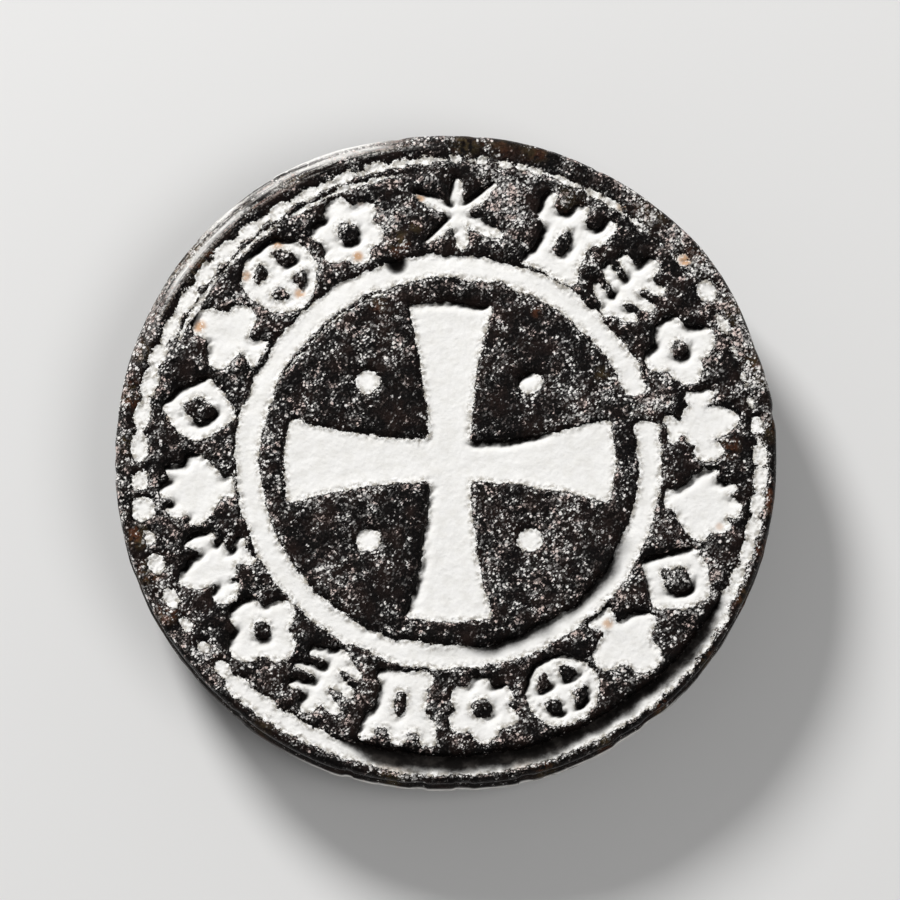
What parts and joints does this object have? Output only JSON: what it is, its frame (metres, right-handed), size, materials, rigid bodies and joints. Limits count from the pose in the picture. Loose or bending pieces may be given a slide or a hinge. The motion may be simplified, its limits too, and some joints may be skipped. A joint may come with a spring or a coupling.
{
  "type": "seal matrix",
  "caption": "Round engraved metal seal matrix with a beaded border, ornament band and middle cross, and a hinged folding handle at the back for pressing it into wax.",
  "frame": {"origin": "below the middle of the disc, on the surface that the matrix lies on", "axes": "+Z out of the engraved face, +Y towards the star that opens the band, and the hinge axis along X"},
  "size_m": [0.03, 0.0298, 0.0049],
  "materials": {
    "dark_bronze": "matte",
    "handled_bronze": "satin",
    "white_powder": "matte"
  },
  "bodies": {
    "matrix": {"disc": "dark_bronze", "left_lug": "dark_bronze", "right_lug": "dark_bronze", "hinge_pin": "handled_bronze", "ring_fill": "white_powder", "border_fill": "white_powder", "cross_fill": "white_powder", "pellet_fill_1": "white_powder", "pellet_fill_2": "white_powder", "pellet_fill_3": "white_powder", "pellet_fill_4": "white_powder", "star_fill": "white_powder", "ornament_fill_01": "white_powder", "ornament_fill_02": "white_powder", "ornament_fill_03": "white_powder", "ornament_fill_04": "white_powder", "ornament_fill_05": "white_powder", "ornament_fill_06": "white_powder", "ornament_fill_07": "white_powder", "ornament_fill_08": "white_powder", "ornament_fill_09": "white_powder", "ornament_fill_10": "white_powder", "ornament_fill_11": "white_powder", "ornament_fill_12": "white_powder", "ornament_fill_13": "white_powder", "ornament_fill_14": "white_powder", "ornament_fill_15": "white_powder", "ornament_fill_16": "white_powder", "ornament_fill_17": "white_powder", "ornament_fill_18": "white_powder"},
    "handle": {"folding_handle": "handled_bronze"}
  },
  "joints": [
    {"name": "handle_fold", "type": "hinge", "parent": "matrix", "child": "handle", "pos_m": [0, 0.0052, 0.0012], "axis": [1, 0, 0], "range_deg": [0, 180]}
  ]
}
